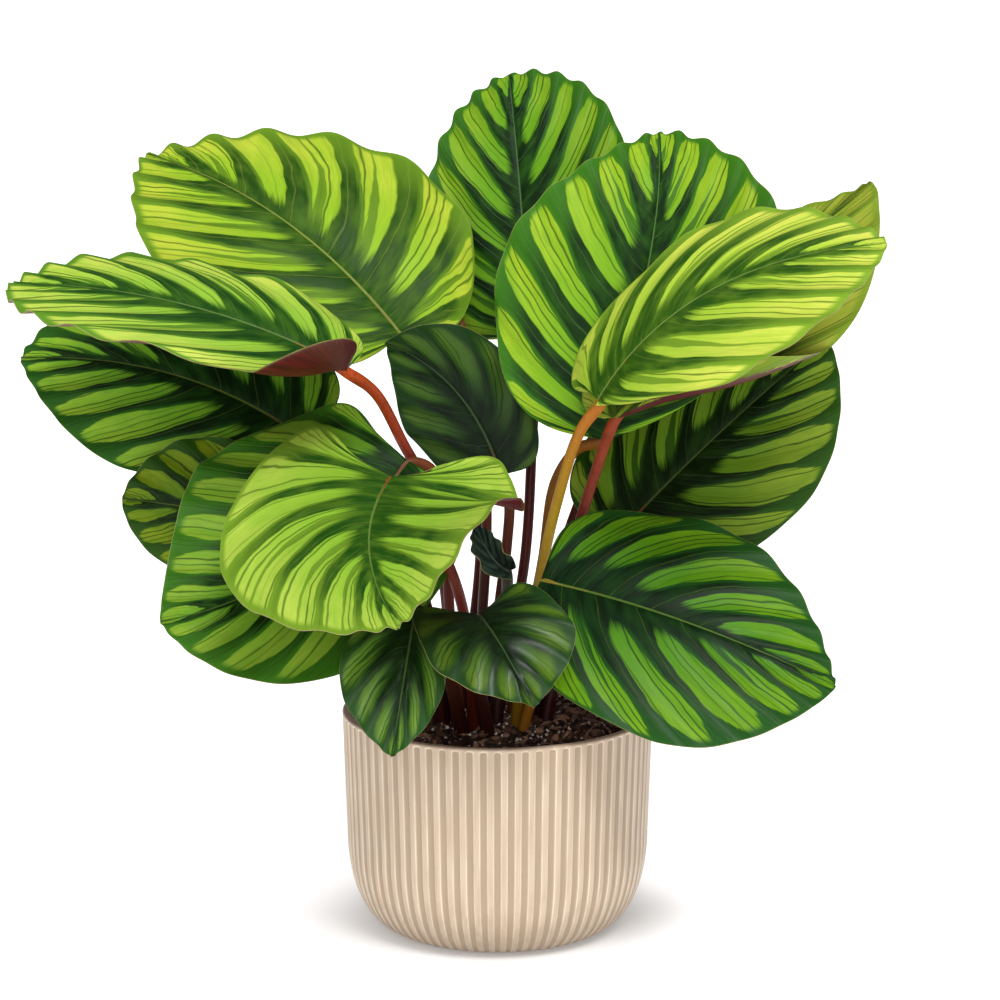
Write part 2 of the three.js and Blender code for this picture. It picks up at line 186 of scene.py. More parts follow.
def new_tree(name, inputs):
    """A Geometry Nodes tree with a geometry in and out, and named number inputs."""
    tree = bpy.data.node_groups.new(name, "GeometryNodeTree")
    tree.interface.new_socket("Geometry", in_out="INPUT", socket_type="NodeSocketGeometry")
    tree.interface.new_socket("Geometry", in_out="OUTPUT", socket_type="NodeSocketGeometry")
    for label, kind in inputs.items():
        tree.interface.new_socket(label, in_out="INPUT", socket_type=kind)
    return tree, tree.nodes.new("NodeGroupInput"), tree.nodes.new("NodeGroupOutput")


def smooth(piece, angle=60):
    piece.data.polygons.foreach_set("use_smooth", [True] * len(piece.data.polygons))
    piece.data.set_sharp_from_angle(angle=math.radians(angle))


def pot_radius(height):
    if height >= POT_BEND_HEIGHT:
        rise = (height - POT_BEND_HEIGHT) / (POT_HEIGHT - POT_BEND_HEIGHT)
        return POT_BEND_RADIUS + (POT_RIM_RADIUS - POT_BEND_RADIUS) * rise
    drop = 1 - height / POT_BEND_HEIGHT
    bulge = (1 - drop ** POT_BEND_POWER) ** (1 / POT_BEND_POWER)
    return POT_FOOT_RADIUS + (POT_BEND_RADIUS - POT_FOOT_RADIUS) * bulge


def turned(rows, segments):
    """Points and faces of a closed shape turned round the upright axis. The first and the
    last row are points on the axis."""
    points = [(0, 0, rows[0][1])]
    for radius, height in rows[1:-1]:
        for k in range(segments):
            angle = 2 * math.pi * k / segments
            points.append((radius * math.cos(angle), radius * math.sin(angle), height))
    points.append((0, 0, rows[-1][1]))
    last = len(points) - 1
    faces = []
    for k in range(segments):
        after = (k + 1) % segments
        faces.append((0, 1 + after, 1 + k))
        for j in range(len(rows) - 3):
            low, high = 1 + j * segments, 1 + (j + 1) * segments
            faces.append((low + k, low + after, high + after, high + k))
        faces.append((last, 1 + (len(rows) - 3) * segments + k,
                      1 + (len(rows) - 3) * segments + after))
    return points, faces


def pot_rows():
    rows = [(0, 0), (POT_FOOT_RADIUS - 4, 0), (POT_FOOT_RADIUS, 0)]
    curve = [POT_BEND_HEIGHT * (k / 22) ** 2 for k in range(1, 23)]
    # rows lie close together where the flutes end
    straight = [*np.arange(66, 126, 6), *np.arange(126, 134.1, 0.5)]
    rows += [(pot_radius(height), height) for height in curve + straight]
    lip = pot_radius(POT_HEIGHT)
    corners = (lip - POT_LIP_ROUND, 10, 90), (lip - POT_WALL + POT_LIP_ROUND, 90, 180)
    for centre, start, end in corners:
        for degrees in np.linspace(start, end, 6):
            turn = math.radians(degrees)
            rows.append((centre + POT_LIP_ROUND * math.cos(turn),
                         POT_HEIGHT - POT_LIP_ROUND + POT_LIP_ROUND * math.sin(turn)))
    for height in (130, 124, 116, 100, 80, 60, 44, 32, 22, 14, POT_FLOOR):
        rows.append((pot_radius(height) - POT_WALL, height))
    return rows + [(0, POT_FLOOR)]


def flute_tree():
    """Presses the flutes into the outer wall and stores how deep each place lies."""
    tree, given, result = new_tree("pot_flutes", {
        "Ribs": "NodeSocketInt", "Flute depth": "NodeSocketFloat",
        "Flute top": "NodeSocketFloat", "Flute share": "NodeSocketFloat",
    })
    place = add(tree, "GeometryNodeInputPosition").outputs[0]
    x, y, z = add(tree, "ShaderNodeSeparateXYZ", (place,)).outputs
    angle = calc(tree, "ARCTAN2", y, x)
    turns = calc(tree, "DIVIDE", times(tree, angle, given.outputs["Ribs"]), 2 * math.pi)
    off = calc(tree, "ABSOLUTE", minus(tree, turns, calc(tree, "ROUND", turns)))
    across = calc(tree, "DIVIDE", off, times(tree, given.outputs["Flute share"], 0.5))
    inside = ease(tree, across, 0.35, 1.2, 1.0, 0.0)
    # the upper end of a flute is a half round
    bow = calc(tree, "POWER", calc(tree, "MINIMUM", across, 1.0), 2.0)
    arch = calc(tree, "SQRT", calc(tree, "MAXIMUM", minus(tree, 1.0, bow), 0.0))
    fall = times(tree, minus(tree, arch, 1.0), FLUTE_ARCH * MM)
    top = plus(tree, given.outputs["Flute top"], fall)
    below = ease(tree, minus(tree, top, z), 0.0, FLUTE_FADE * MM)
    radius = calc(tree, "SQRT", plus(tree, times(tree, x, x), times(tree, y, y)))
    outer = add(tree, "GeometryNodeInputNamedAttribute", ("outer",), data_type="FLOAT").outputs[0]
    deep = times(tree, times(tree, inside, below), outer)
    inward = times(tree, radius, -1.0)
    push = calc(tree, "DIVIDE", times(tree, deep, given.outputs["Flute depth"]), inward)
    offset = add(tree, "ShaderNodeVectorMath", {0: vector_of(tree, x, y, 0.0), 3: push},
                 operation="SCALE").outputs[0]
    stored = add(tree, "GeometryNodeStoreNamedAttribute",
                 {"Geometry": given.outputs["Geometry"], "Name": "deep", "Value": deep},
                 data_type="FLOAT", domain="POINT")
    moved = add(tree, "GeometryNodeSetPosition", {"Geometry": stored.outputs[0], "Offset": offset})
    tree.links.new(moved.outputs[0], result.inputs[0])
    return tree


def stoneware():
    finish, tree, shader = new_finish("stoneware_glaze", 0.42, Coat_Weight=0.12, Coat_Roughness=0.3)
    place = add(tree, "ShaderNodeTexCoord").outputs["Object"]
    deep = read(tree, "deep").outputs["Fac"]
    # painted shade in the flutes, and a painted highlight on the edges of the ribs
    tone = blend(tree, ease(tree, deep, 0.15, 0.9), paint(GLAZE_ON_RIBS), paint(GLAZE_AND_SHADE_IN_FLUTES))
    edge = times(tree, ease(tree, deep, 0.01, 0.12), ease(tree, deep, 0.2, 0.5, 1.0, 0.0))
    tone = blend(tree, times(tree, edge, 0.85), tone, paint(PAINTED_RIB_EDGE_HIGHLIGHT))
    drawn = add(tree, "ShaderNodeMapping", {"Vector": place, "Scale": (1.0, 1.0, 0.08)}).outputs[0]
    run = grain(tree, drawn, 260.0, 2.0)
    tone = blend(tree, ease(tree, run, 0.4, 0.7, 0.0, 0.35), tone, paint(GLAZE_RUNS))
    cloud = grain(tree, place, 38.0, 3.0)
    tone = blend(tree, ease(tree, cloud, 0.3, 0.75, 0.0, 0.22), tone, paint(GLAZE_CLOUDS))
    speck = ease(tree, grain(tree, place, 900.0, 2.0), 0.68, 0.76, 0.0, 0.35)
    tone = blend(tree, speck, tone, paint(GLAZE_SPECKS))
    # painted shade: the foot is darkened towards the floor, for the shadow that it stands in
    height = add(tree, "ShaderNodeSeparateXYZ", (place,)).outputs[2]
    foot = ease(tree, height, FOOT_SHADE_FROM * MM, FOOT_SHADE_TO * MM, 0.5, 0.0)
    tone = blend(tree, foot, tone, paint(PAINTED_FOOT_SHADE))
    tree.links.new(tone, shader.inputs["Base Color"])
    fine = grain(tree, place, 420.0, 3.0)
    rough = ease(tree, grain(tree, place, 60.0, 2.0), 0.3, 0.7, 0.36, 0.5)
    tree.links.new(rough, shader.inputs["Roughness"])
    relief(tree, shader, fine, 0.00012, 0.5)
    return finish


points, faces = turned(pot_rows(), POT_SEGMENTS)
pot = new_piece("pot_glazed", points, faces, [stoneware()])
height_of = np.array([p[2] for p in points])
radius_of = np.array([math.hypot(p[0], p[1]) for p in points])
wall_of = np.array([pot_radius(min(h, POT_HEIGHT)) for h in height_of])
is_outer = (radius_of > wall_of - OUTER_SKIN) & (height_of < POT_HEIGHT - 0.3)
outer = pot.data.attributes.new("outer", "FLOAT", "POINT")
outer.data.foreach_set("value", is_outer.astype(np.float32))
run_tree(pot, flute_tree(), {
    "Ribs": RIBS, "Flute depth": FLUTE_DEPTH * MM, "Flute top": FLUTE_TOP * MM,
    "Flute share": FLUTE_SHARE,
})
smooth(pot, 50)
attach(pot, "root")
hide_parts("pot")

# ---------------------------------------------------------------- soil
# Bark-based potting mix fills the pot almost to the lip: dark crumbs, flat brown bark chips
# that lie at all angles, and white perlite. The stalks stand in it.

SOIL_LEVEL = 124
SOIL_MOUND = 2
SOIL_GAP = 0.3
SOIL_SEGMENTS = 180
SOIL_RINGS = 56
SOIL_SWELL = 0.9
LUMP_WIDTH = 7
LUMP_HEIGHT = 1.1
CRUMB_WIDTH = 2.6
CRUMB_HEIGHT = 0.9
STREWN_REACH = 87.2
STONE_DENT = 0.16  # of a stone's width
SOIL_TONES = ("#150d08", "#4e301c")
BARK_TONES = ("#1c120b", "#664630", "#c8a282")
PERLITE_TONES = ("#e4dcd2", "#f8f4ee", "#ffffff")


def soil_rows():
    edge = SOIL_LEVEL - SOIL_MOUND
    rows = [(0, POT_FLOOR + SOIL_GAP)]
    for height in (POT_FLOOR + SOIL_GAP, 14, 24, 40, POT_BEND_HEIGHT, 90, edge - 1):
        rows.append((pot_radius(height) - POT_WALL - SOIL_GAP, height))
    rim = pot_radius(edge) - POT_WALL - SOIL_GAP
    for share in np.linspace(1.0, 0.03, SOIL_RINGS):
        rows.append((rim * share, edge + SOIL_MOUND * (1 - share ** 2)))
    return rows + [(0, SOIL_LEVEL)]


def crumbled(points):
    """Lifts and lowers the top of the soil in crumbs, and less beside the wall."""
    rough = []
    for x, y, z in points:
        if z >= SOIL_LEVEL - SOIL_MOUND - 0.5:
            inward = min((90 - math.hypot(x, y)) / 6, 1)
            lump = noise.noise(Vector((x, y, 3)) / LUMP_WIDTH) * LUMP_HEIGHT
            crumb = noise.noise(Vector((x, y, 9)) / CRUMB_WIDTH) * CRUMB_HEIGHT
            z += SOIL_SWELL * math.sin(0.31 * x + 1.3) * math.cos(0.27 * y - 0.4 * x) * inward
            z += (lump + crumb) * (0.35 + 0.65 * inward)
        rough.append((x, y, z))
    return rough


def soil_finish():
    finish, tree, shader = new_finish("soil_crumbs", 0.9)
    place = add(tree, "ShaderNodeTexCoord").outputs["Object"]
    lump = grain(tree, place, 420.0, 4.0, 0.65)
    tone = blend(tree, ease(tree, lump, 0.42, 0.68), *map(paint, SOIL_TONES))
    tree.links.new(tone, shader.inputs["Base Color"])
    relief(tree, shader, lump, 0.0016, 1.0)
    return finish


def chip_finish(name, tones, roughness):
    """Tones run with the value that each chip was given when it was strewn."""
    finish, tree, shader = new_finish(name, roughness)
    place = add(tree, "ShaderNodeTexCoord").outputs["Object"]
    shade = read(tree, "shade").outputs["Fac"]
    tone = blend(tree, ease(tree, shade, 0.0, 0.55), paint(tones[0]), paint(tones[1]))
    tone = blend(tree, ease(tree, shade, 0.6, 1.0), tone, paint(tones[2]))
    fibre = grain(tree, place, 1100.0, 3.0, 0.6)
    tone = blend(tree, ease(tree, fibre, 0.35, 0.7, 0.0, 0.45), tone, paint(tones[0]))
    tree.links.new(tone, shader.inputs["Base Color"])
    relief(tree, shader, fibre, 0.0004, 0.8)
    return finish


def strew_tree(name, finish):
    """Strews small uneven stones over the upper faces of a surface, each at its own angle,
    in its own size and with its own shade."""
    tree, given, result = new_tree(name, {
        "Density": "NodeSocketFloat", "Smallest": "NodeSocketVector",
        "Largest": "NodeSocketVector", "Tilt": "NodeSocketFloat", "Seed": "NodeSocketInt",
    })
    seed = given.outputs["Seed"]
    normal = add(tree, "GeometryNodeInputNormal").outputs[0]
    up = add(tree, "ShaderNodeSeparateXYZ", (normal,)).outputs[2]
    place = add(tree, "GeometryNodeInputPosition").outputs[0]
    flat = add(tree, "ShaderNodeVectorMath", {0: place, 1: (1.0, 1.0, 0.0)}, operation="MULTIPLY")
    reach = add(tree, "ShaderNodeVectorMath", {0: flat.outputs[0]}, operation="LENGTH").outputs["Value"]
    within = calc(tree, "LESS_THAN", reach, STREWN_REACH * MM)
    near = times(tree, calc(tree, "GREATER_THAN", up, 0.3), within)
    strewn = add(tree, "GeometryNodeDistributePointsOnFaces", {
        "Mesh": given.outputs["Geometry"], "Selection": near,
        "Density": given.outputs["Density"], "Seed": seed,
    })
    stone = add(tree, "GeometryNodeMeshIcoSphere", {"Radius": 0.5, "Subdivisions": 1})
    dent = add(tree, "FunctionNodeRandomValue", data_type="FLOAT_VECTOR")
    dent.inputs[0].default_value = (-STONE_DENT,) * 3
    dent.inputs[1].default_value = (STONE_DENT,) * 3
    dented = add(tree, "GeometryNodeSetPosition",
                 {"Geometry": stone.outputs[0], "Offset": dent.outputs[0]})
    turn = add(tree, "FunctionNodeRandomValue", data_type="FLOAT_VECTOR")
    tilt = given.outputs["Tilt"]
    back = times(tree, tilt, -1.0)
    tree.links.new(vector_of(tree, back, back, 0.0), turn.inputs[0])
    tree.links.new(vector_of(tree, tilt, tilt, 2 * math.pi), turn.inputs[1])
    tree.links.new(seed, turn.inputs["Seed"])
    size = add(tree, "FunctionNodeRandomValue", data_type="FLOAT_VECTOR")
    tree.links.new(given.outputs["Smallest"], size.inputs[0])
    tree.links.new(given.outputs["Largest"], size.inputs[1])
    tree.links.new(plus(tree, seed, 7.0), size.inputs["Seed"])
    laid = add(tree, "GeometryNodeInstanceOnPoints", {
        "Points": strewn.outputs[0], "Instance": dented.outputs[0],
        "Rotation": turn.outputs[0], "Scale": size.outputs[0],
    })
    shade = add(tree, "FunctionNodeRandomValue", data_type="FLOAT")
    tree.links.new(plus(tree, seed, 3.0), shade.inputs["Seed"])
    shaded = add(tree, "GeometryNodeStoreNamedAttribute",
                 {"Geometry": laid.outputs[0], "Name": "shade", "Value": shade.outputs[1]},
                 data_type="FLOAT", domain="INSTANCE")
    real = add(tree, "GeometryNodeRealizeInstances", {"Geometry": shaded.outputs[0]})
    coated = add(tree, "GeometryNodeSetMaterial", {"Geometry": real.outputs[0], "Material": finish})
    tree.links.new(coated.outputs[0], result.inputs[0])
    return tree


def strewn_on(surface, name, finish, values):
    chips = bpy.data.objects.new(name, surface.data.copy())
    bpy.context.scene.collection.objects.link(chips)
    run_tree(chips, strew_tree(name, finish), values)
    chips.data.materials.clear()
    chips.data.materials.append(finish)
    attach(chips, "root")
    return chips


points, faces = turned(soil_rows(), SOIL_SEGMENTS)
soil = new_piece("soil_mix", crumbled(points), faces, [soil_finish()])
smooth(soil, 80)
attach(soil, "root")
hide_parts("soil")
bark = chip_finish("bark_chips", BARK_TONES, 0.5)
strewn_on(soil, "soil_bark_large", bark, {
    "Density": 24000.0, "Smallest": (0.005, 0.0035, 0.0015), "Largest": (0.0115, 0.0075, 0.0038),
    "Tilt": 1.1, "Seed": 11,
})
strewn_on(soil, "soil_bark_small", bark, {
    "Density": 60000.0, "Smallest": (0.0016, 0.001, 0.0008), "Largest": (0.0044, 0.0026, 0.0018),
    "Tilt": 1.2, "Seed": 23,
})
perlite = chip_finish("perlite_grains", PERLITE_TONES, 0.85)
strewn_on(soil, "soil_perlite", perlite, {
    "Density": 22000.0, "Smallest": (0.001, 0.0009, 0.0009), "Largest": (0.004, 0.003, 0.003),
    "Tilt": 1.5, "Seed": 5,
})

# ---------------------------------------------------------------- leaf blades
# Each leaf is one thin blade with a sunk midrib and arching veins. Bright bands lie between
# dark ones that follow the veins, the margin waves with the bands, and the underside is wine
# red. Younger leaves are yellower, older ones are dark and glossy.

FIRST_VEIN = 0.12
VEIN_SWEEP = 2.5
BAND_SWEEP = 2.25
BEND_ALONG = 0.28  # a vein bends towards the tip at these shares of its way
BEND_ACROSS = 0.66
LOBE_END = 0.36
BLADE_THICKNESS = 0.5
BLADE_COLUMNS = 130
FIRST_COLUMN = 0.03
BLADE_ROWS = 22
FINE_STEPS = 4  # to a row, for summing up how the blade rises
WAVE_RISE = 2.2  # the waves grow towards the margin
RIGHT_LAG = 0.35  # of a wave, so that the halves' waves don't face each other
QUILT_HEIGHT = 0.5
GROOVE_DEPTH = 0.5
GROOVE_WIDTH = 1.6
RIDGE_HEIGHT = 0.9
RIDGE_WIDTH = 1.3
BASE_BANDS_REACH = 0.15
RIGHT_SIDE = 40  # added to the band number on the right half, so that no two bands match
UPPER, UNDER, MARGIN = range(3)
MARGIN_LINE = "#a3a05c"
MARGIN_EDGE = ("#8f9448", "#7a6434")
UNDERSIDE = ("#3e070c", "#5e1014")
UNDERSIDE_BANDS = "#6f4a32"
UNDERSIDE_RIM = "#6c6a32"
UNDERSIDE_RIB = "#a8743c"

# Values that a leaf has unless its own line says otherwise. Pairs are its left and right half,
# angles are in degrees, and a fold is side, start, end, degrees and ramp.
PLAIN_LEAF = dict(
    bands=7, base_bands=2, soft=0, gloss=0, foot=5, lobe=(0.03, 0.03), blunt=(0.6, 0.6),
    point=1.85, lean=(0, 0), vee=10, droop=(-15, -15), wave=1.5, folds=(),
)
# tones: light band, its edge towards the margin, rim, dark band, midrib
TONES = {
    "light": dict(tones=("#97c42c", "#c2d248", "#6f982c", "#264c18", "#84984a"),
                  start=0.08, width=0.44, end=1.35),
    "mid": dict(tones=("#75ad24", "#9cc030", "#3c7822", "#12290e", "#5f7f44"),
                start=0.12, width=0.42, end=1.1),
    "dark": dict(tones=("#55921e", "#74a828", "#285820", "#0f200c", "#52682e"),
                 start=0.14, width=0.43, end=1.06),
}
LEAVES = [
    dict(name="upper_left", width=0.4, tone="light", split=0.6,
         tones=("#95bf29", "#c5d342", "#6c9424", "#21460c", "#8f9a44"),
         base=(-58, 30, 362), middle=(-134, 70, 430), tip=(-223, 118, 466),
         half=(78, 92), face=(0, 45), point=1.4, lean=(0.05, -0.2), wave=3, blunt=(0.6, 1.7),
         stalk=((-14, 34), (-7, 44, 257), (-19, 48, 354), (-33, 56, 380))),
    dict(name="left", tone="light", split=0.4,
         tones=("#9bca3f", "#cedd5c", "#5f9026", "#184410", "#72904a"),
         base=(-88, -40, 353), middle=(-185, -26, 389), tip=(-291, 3, 398),
         half=(57, 56), face=(0, 62), point=1.3, lean=(0.06, -0.04), wave=2.5, droop=(14, -12),
         blunt=(0.5, 0.9), folds=((-1, -0.3, 0.28, 95, 0.3), (1, 0.3, 0.8, -18, 1)),
         stalk=((-26, 14), (-41, 9, 264), (-58, 2, 302), (-73, -20, 335))),
    dict(name="left_under", tone="dark", split=0.2,
         tones=("#6ca226", "#93b931", "#2c6018", "#0a1f08", "#5a6a2c"),
         base=(-117, 22, 299), middle=(-200, 40, 337), tip=(-297, 61, 344),
         half=(68, 68), face=(0, 35), point=1.6,
         stalk=((-38, 20), (-45, 28, 197), (-73, 31, 247), (-100, 28, 285))),
    dict(name="left_small", tone="dark", split=0.3, bands=5,
         tones=("#5a7c11", "#7a8e17", "#2c5012", "#0a2104", "#566428"),
         base=(-129, -22, 256), middle=(-178, -18, 264), tip=(-226, -17, 270),
         half=(40, 46), face=(-10, 25), point=1.3,
         stalk=((-34, 6), (-47, -4, 192), (-84, -11, 228), (-110, -15, 247))),
    dict(name="lower_left", tone="mid", split=0.4,
         tones=("#659724", "#86a72f", "#3a7017", "#0c2808", "#5f7a34"),
         base=(-54, -10, 292), middle=(-119, -55, 236), tip=(-196, -92, 212),
         half=(72, 90), face=(-5, 30), droop=(-15, -8), point=1.6,
         lobe=(0.03, 0.14), blunt=(0.6, 0.5), folds=((1, -0.3, 0.35, -35, 1),),
         stalk=((-24, -2), (-29, -4, 192), (-33, -2, 254), (-40, -3, 285))),
    dict(name="front_left", tone="light", split=0.5,
         tones=("#90c036", "#bad452", "#7aa02b", "#204e10", "#6f8c40"),
         base=(-63, -51, 290), middle=(-73, -121, 263), tip=(-54, -196, 234),
         half=(92, 85), blunt=(0.5, 0.5), face=(0, 72), tip_face=(-18, 60), lobe=(0.14, 0.26),
         base_bands=3,
         folds=((-1, -0.5, 0.45, 48, 1), (-1, 0.35, 1, 60, 1), (1, -0.5, 0.8, 20, 1)),
         stalk=((-14, -8), (-18, -34, 190), (-28, -58, 236), (-48, -60, 274))),
    dict(name="centre_small", tone="dark", split=0.2, bands=5, soft=1, gloss=0.1,
         tones=("#37551d", "#496521", "#1c3c15", "#081707", "#3c5434"),
         base=(2, 38, 274), middle=(-25, 32, 327), tip=(-68, 17, 360),
         half=(40, 38), face=(0, 15),
         stalk=((-4, 18), (0, 32, 183), (6, 44, 231), (7, 44, 257))),
    dict(name="centre_right", tone="mid", split=0.3,
         tones=("#7cae1f", "#a3c22c", "#3f7a1a", "#0c2809", "#5f7f44"),
         base=(65, 22, 299), middle=(93, 35, 411), tip=(99, 73, 483),
         half=(90, 86), face=(0, 20), tip_face=(0, 55), point=1.3, wave=2.5,
         droop=(-8, -15), lean=(-0.04, 0.04), blunt=(0.8, 3),
         stalk=((10, 26), (28, 36, 220), (36, 40, 270), (50, 32, 292))),
    dict(name="right", width=0.42, tone="light", split=0.6,
         tones=("#b1d53e", "#dee45e", "#82aa2e", "#2a5310", "#7f9c4c"),
         base=(59, -45, 335), middle=(123, -75, 404), tip=(222, -85, 432),
         half=(64, 78), face=(0, 60), lobe=(0.14, 0.05), point=1.5, blunt=(0.6, 3),
         stalk=((12, 4), (26, -5, 219), (36, -18, 269), (49, -34, 314))),
    dict(name="right_upper", tone="light", split=0.5,
         tones=("#87a524", "#a5ac3d", "#7f9a29", "#2a440a", "#8a9448"),
         base=(70, -12, 318), middle=(146, -2, 391), tip=(223, 10, 459),
         half=(44, 61), face=(20, 45), lean=(-0.13, 0.09), blunt=(1, 3), point=2.2,
         folds=((1, -0.3, 0.5, 95, 0.3),),
         stalk=((20, 18), (39, 3, 214), (53, 1, 262), (66, -7, 305))),
    dict(name="top", tone="mid", split=0.2,
         tones=("#689e1d", "#8bae27", "#3a741a", "#0c2609", "#55744a"),
         base=(20, 73, 357), middle=(14, 93, 445), tip=(7, 136, 515),
         half=(62, 70), face=(-20, 20), tip_face=(-20, 52), point=1, lean=(-0.04, 0.04), wave=2.5,
         stalk=((0, 36), (17, 52, 217), (22, 68, 297), (25, 78, 347))),
    dict(name="right_under", tone="dark", split=0.3,
         tones=("#658d1f", "#88a02b", "#2c5412", "#0c1d05", "#4f6030"),
         base=(72, 19, 238), middle=(135, 53, 295), tip=(206, 70, 355),
         half=(64, 70), face=(5, 32), point=1.35,
         stalk=((30, 12), (43, 18, 181), (57, 16, 212), (66, 18, 227))),
    dict(name="lower_right", tone="dark", split=0.4, gloss=0.05, foot=3.2,
         tones=("#4f8810", "#72a015", "#215418", "#092109", "#5f7a30"),
         base=(26, -40, 225), middle=(110, -70, 207), tip=(198, -90, 173),
         half=(71, 79), face=(0, 42), point=1.75, lean=(-0.03, 0.03),
         stalk=((16, -12), (22, -16, 151), (24, -30, 195), (25, -38, 215))),
    dict(name="front_small", tone="dark", split=0.1, bands=5, soft=1, gloss=0.3,
         tones=("#456817", "#5e7c1d", "#224818", "#0a1d07", "#455c38"),
         base=(-11, -82, 214), middle=(3, -111, 201), tip=(21, -131, 171),
         half=(44, 46), face=(0, 62), lobe=(0.26, 0.2), vee=20, lean=(0, -0.12),
         folds=((-1, -0.5, 0.8, 28, 1), (1, -0.5, 0.8, 26, 1)),
         stalk=((-6, -20), (-12, -33, 162), (-14, -60, 190), (-13, -75, 204))),
    dict(name="rim_small", tone="dark", split=0.2, bands=5, soft=1, gloss=0.4,
         tones=("#5a8726", "#769e31", "#285818", "#0c2609", "#4f6a38"),
         base=(-48, -74, 217), middle=(-54, -106, 182), tip=(-61, -122, 139),
         half=(24, 38), face=(0, 20),
         stalk=((-22, -16), (-28, -34, 160), (-35, -54, 191), (-43, -70, 211))),
    dict(name="withered", tone="dark", split=0.0, bands=5,
         tones=("#2c3c30", "#3a4c3c", "#26362a", "#121c16", "#44544a"),
         base=(8, -2, 222), middle=(-3, -9, 232), tip=(-13, -6, 251),
         half=(10, 10), face=(15, 20), wave=2, point=1.3,
         folds=((-1, -0.5, 0.9, 55, 1), (1, -0.5, 1, 80, 0.6)),
         stalk=((-1, 4), (2, 6, 160), (5, 5, 195), (6, 4, 210))),
    dict(name="back_left", tone="mid", split=0.4,
         base=(-45, 80, 354), middle=(-103, 134, 396), tip=(-162, 168, 424),
         half=(62, 62), face=(180, 45),
         stalk=((-22, 46), (-11, 68, 239), (-30, 76, 315), (-41, 76, 347))),
    dict(name="back_right", tone="mid", split=0.3,
         base=(81, 92, 324), middle=(124, 135, 371), tip=(171, 165, 392),
         half=(62, 62), face=(180, 45),
         stalk=((16, 40), (39, 64, 215), (65, 84, 283), (77, 91, 313))),
    dict(name="back_low_right", tone="dark", split=0.3, bands=6,
         base=(81, 65, 214), middle=(121, 115, 230), tip=(165, 155, 230),
         half=(52, 52), face=(180, 60),
         stalk=((30, 30), (41, 52, 166), (63, 60, 196), (74, 64, 207))),
    dict(name="back_low_left", tone="dark", split=0.3, bands=6,
         base=(-71, 70, 223), middle=(-121, 110, 230), tip=(-170, 150, 223),
         half=(52, 52), face=(180, 60),
         stalk=((-34, 34), (-43, 52, 179), (-60, 62, 207), (-67, 68, 216))),
]
LEAVES = [{**PLAIN_LEAF, **TONES[leaf["tone"]], "seed": seed, **leaf}
          for seed, leaf in enumerate(LEAVES, 1)]


def unit(vectors):
    return vectors / np.linalg.norm(vectors, axis=-1, keepdims=True)


def facing(around, above):
    turn, lift = math.radians(around), math.radians(above)
    level = math.cos(lift)
    return np.array((math.sin(turn) * level, -math.cos(turn) * level, math.sin(lift)))


class Midrib:
    """One arc through base, middle and tip, with its direction, the upper face's normal and
    the way to the leaf's right at any share of its length."""

    def __init__(self, leaf):
        base, middle, tip = (np.array(leaf[key], float) for key in ("base", "middle", "tip"))
        self.ends = base, 2 * middle - (base + tip) / 2, tip
        self.steps = np.linspace(0, 1, 401)
        line = self.curve(self.steps)
        gone = np.linalg.norm(np.diff(line, axis=0), axis=1)
        self.gone = np.concatenate(([0.0], np.cumsum(gone)))
        self.length = self.gone[-1]
        self.faces = facing(*leaf["face"]), facing(*leaf.get("tip_face", leaf["face"]))

    def curve(self, u):
        base, control, tip = self.ends
        u = u[..., None]
        return (1 - u) ** 2 * base + 2 * u * (1 - u) * control + u ** 2 * tip

    def at(self, share):
        share = np.asarray(share, float)
        u = np.interp(share * self.length, self.gone, self.steps)
        base, control, tip = self.ends
        way = u[..., None]
        along = unit((1 - way) * (control - base) + way * (tip - control))
        part = share[..., None]
        up = unit((1 - part) * self.faces[0] + part * self.faces[1])
        up = unit(up - (up * along).sum(-1, keepdims=True) * along)
        return self.curve(u), along, up, np.cross(along, up)


def rise_at(leaf, side, q, t):
    degrees = leaf["vee"] * np.exp(-4 * t) + leaf["droop"][0 if side < 0 else 1] * t ** 1.2
    for fold_side, start, end, turn, ramp in leaf["folds"]:
        if fold_side == side:
            share = np.clip((q - start) / (end - start), 0, 1)
            degrees = degrees + turn * np.sin(math.pi * share) * np.minimum(t / ramp, 1)
    return np.radians(degrees)


